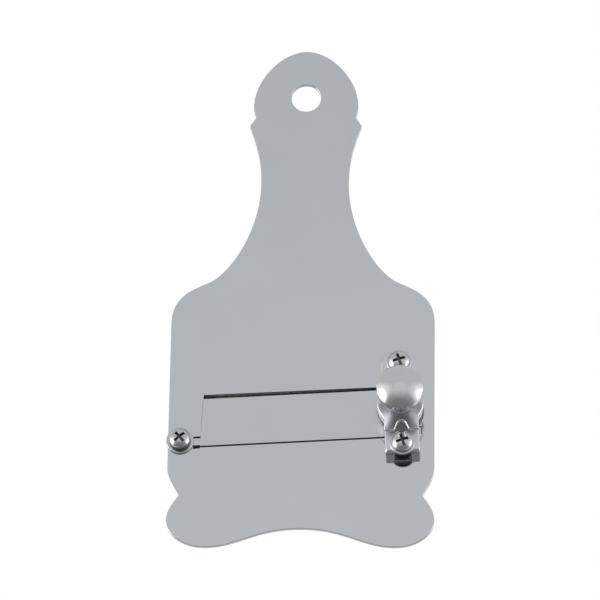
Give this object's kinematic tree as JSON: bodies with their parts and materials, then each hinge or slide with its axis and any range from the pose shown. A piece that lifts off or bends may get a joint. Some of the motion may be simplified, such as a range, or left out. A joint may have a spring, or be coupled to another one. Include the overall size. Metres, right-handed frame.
{
  "type": "truffle slicer",
  "caption": "Flat polished steel paddle with a waisted, pierced handle and a slanted slicing blade in an opening, which a knob on a screwed bridge lifts to set the slice.",
  "frame": {"origin": "on the paddle's back face, at the middle of its length and width", "axes": "+Y along the paddle towards its handle, +Z out of the face that carries the knob, +X across it to the knob's side"},
  "size_m": [0.0883, 0.1806, 0.0258],
  "materials": {
    "polished_steel": "polished stainless sheet",
    "blade_steel": "fine ground stainless sheet",
    "knob_steel": "mirror polished turned steel",
    "blackened_steel": "blackened steel",
    "turned_steel": "plain turned stainless steel",
    "fastener_steel": "bright stainless fasteners"
  },
  "bodies": {
    "frame": {"paddle": "polished_steel", "bridge": "polished_steel", "friction_leaf": "polished_steel", "upper_spacer": "blackened_steel", "lower_spacer": "blackened_steel", "front_keeper": "blackened_steel", "back_keeper": "blackened_steel", "pivot_washer": "fastener_steel", "pivot_lock_washer": "blackened_steel", "pivot_screw": "fastener_steel", "pivot_nut": "fastener_steel", "pivot_back_washer": "fastener_steel", "upper_washer": "fastener_steel", "upper_screw": "fastener_steel", "upper_nut": "fastener_steel", "upper_back_washer": "fastener_steel", "lower_washer": "fastener_steel", "lower_screw": "fastener_steel", "lower_nut": "fastener_steel"},
    "blade": {"blade": "blade_steel", "blade_boss": "blade_steel"},
    "knob": {"knob": "knob_steel", "knob_stem": "turned_steel", "stem_ring": "turned_steel"}
  },
  "joints": [
    {"name": "knob_turn", "type": "hinge", "parent": "frame", "child": "knob", "pos_m": [0.03261, -0.04155, 0], "axis": [0, 0, -1], "range_deg": [-175, 405]},
    {"name": "blade_tilt", "type": "hinge", "parent": "frame", "child": "blade", "pos_m": [0, -0.05142, 0.0007], "axis": [0.9985, 0.0541, 0], "range_deg": [-2.45, 5.6]}
  ],
  "couplings": [
    {"joint": "blade_tilt", "follows": "knob_turn", "ratio": 0.013754}
  ]
}
